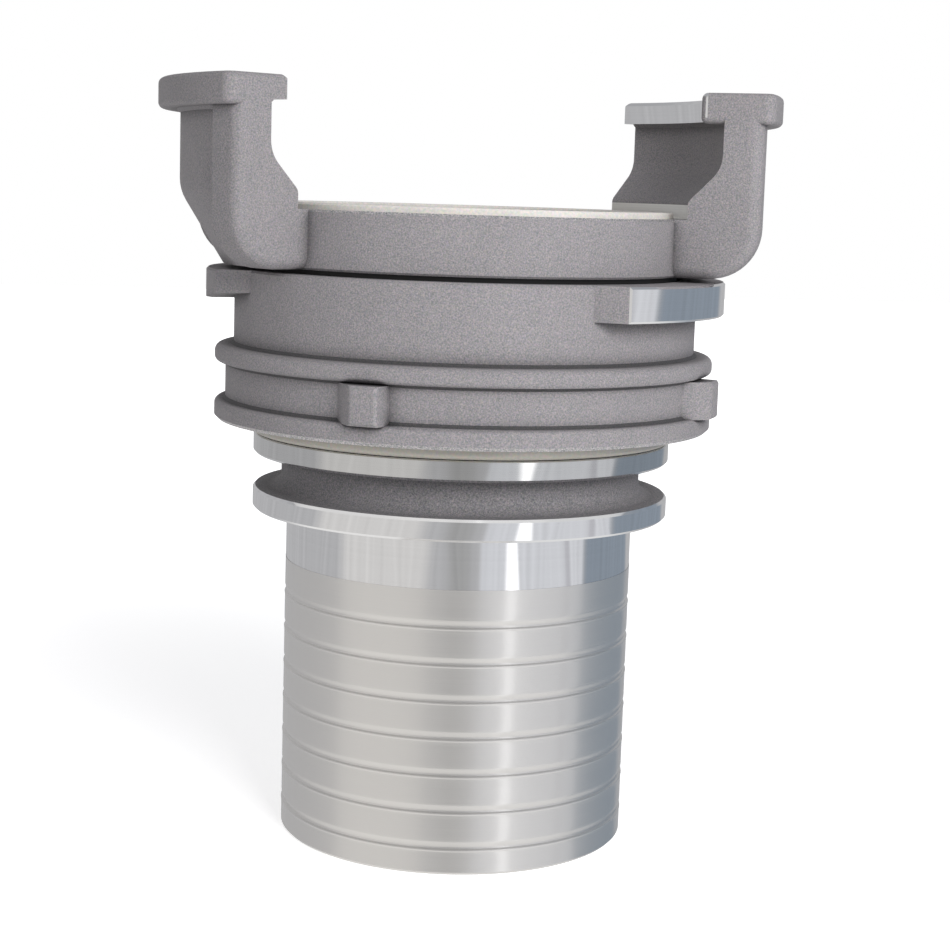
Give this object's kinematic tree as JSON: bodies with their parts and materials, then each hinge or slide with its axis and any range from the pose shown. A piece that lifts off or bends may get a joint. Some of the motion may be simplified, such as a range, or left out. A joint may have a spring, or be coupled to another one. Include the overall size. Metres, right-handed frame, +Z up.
{
  "type": "guillemin hose coupling",
  "caption": "Symmetrical claw coupling half with a turning locking ring, clamp collars and a grooved tail for a hose.",
  "frame": {"origin": "middle of the hose tail's end, on the waterway's axis", "axes": "+Z up the waterway from the tail to the claws, +X through the middle of one claw"},
  "size_m": [0.1784, 0.145, 0.2175],
  "materials": {
    "cast_body": "cast, turned bright on the tail and collars",
    "cast_ring": "cast, ramp rims turned bright",
    "wire": "satin spring wire",
    "seal": "cream, matt"
  },
  "bodies": {
    "body": {"coupling_body": "cast_body", "face_seal": "seal"},
    "wire": {"stop_ring": "wire"},
    "ring": {"locking_ring": "cast_ring"}
  },
  "joints": [
    {"name": "ring_turn", "type": "hinge", "parent": "body", "child": "wire", "pos_m": [0, 0, 0.12], "axis": [0, 0, 1], "range_deg": [0, 90]},
    {"name": "ring_advance", "type": "slide", "parent": "wire", "child": "ring", "axis": [0, 0, 1], "range_m": [0, 0.001]}
  ],
  "couplings": [
    {"joint": "ring_advance", "follows": "ring_turn", "m_per_rad": 0.000636}
  ]
}
